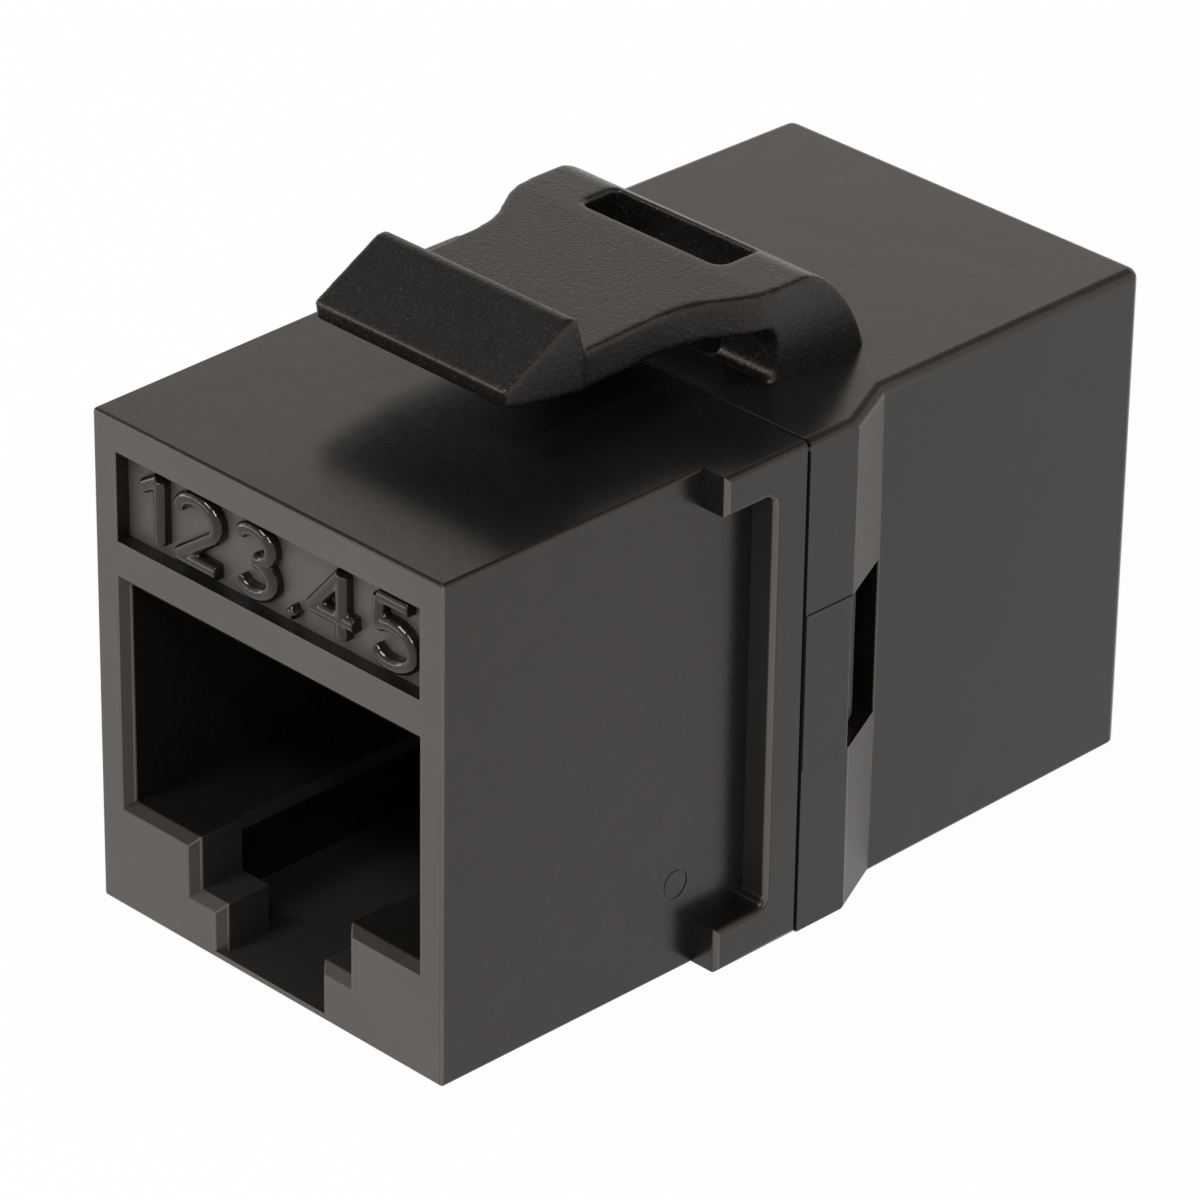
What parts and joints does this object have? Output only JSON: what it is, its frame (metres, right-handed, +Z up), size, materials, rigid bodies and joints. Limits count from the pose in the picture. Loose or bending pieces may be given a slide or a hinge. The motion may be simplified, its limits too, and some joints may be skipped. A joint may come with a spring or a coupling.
{
  "type": "inline keystone coupler",
  "caption": "Black inline keystone coupler: a two-part moulded shell with a sprung panel latch and a modular port at each end.",
  "frame": {"origin": "middle of the footprint, on the bottom face", "axes": "+Z up, towards the latch; +Y from the front port to the rear port; +X to the right as seen from the front port"},
  "size_m": [0.0166, 0.0286, 0.0203],
  "materials": {
    "housing_plastic": "satin moulded, warm black",
    "latch_plastic": "finely textured matt, warm black",
    "carrier_plastic": "plain moulded black",
    "board": "solder mask over laminate",
    "contact_gold": "gold plated spring wire"
  },
  "bodies": {
    "shell": {"front_housing": "housing_plastic", "rear_housing": "housing_plastic", "circuit_board": "board", "front_contact_carrier": "carrier_plastic", "rear_contact_carrier": "carrier_plastic"},
    "latch": {"keystone_latch": "latch_plastic"},
    "front_contacts": {"front_contact_1": "contact_gold", "front_contact_2": "contact_gold", "front_contact_3": "contact_gold", "front_contact_4": "contact_gold", "front_contact_5": "contact_gold", "front_contact_6": "contact_gold", "front_contact_7": "contact_gold", "front_contact_8": "contact_gold"},
    "rear_contacts": {"rear_contact_1": "contact_gold", "rear_contact_2": "contact_gold", "rear_contact_3": "contact_gold", "rear_contact_4": "contact_gold", "rear_contact_5": "contact_gold", "rear_contact_6": "contact_gold", "rear_contact_7": "contact_gold", "rear_contact_8": "contact_gold"}
  },
  "joints": [
    {"name": "latch_press", "type": "hinge", "parent": "shell", "child": "latch", "pos_m": [0, 0.0007, 0.01862], "axis": [1, 0, 0], "range_deg": [0, 10.5], "stiffness_Nm_per_rad": 0.35},
    {"name": "front_contacts_lift", "type": "hinge", "parent": "shell", "child": "front_contacts", "pos_m": [0, -0.0104, 0.0135], "axis": [1, 0, 0], "range_deg": [0, 14], "stiffness_Nm_per_rad": 0.3},
    {"name": "rear_contacts_lift", "type": "hinge", "parent": "shell", "child": "rear_contacts", "pos_m": [0, 0.0104, 0.0135], "axis": [-1, 0, 0], "range_deg": [0, 14], "stiffness_Nm_per_rad": 0.3}
  ]
}
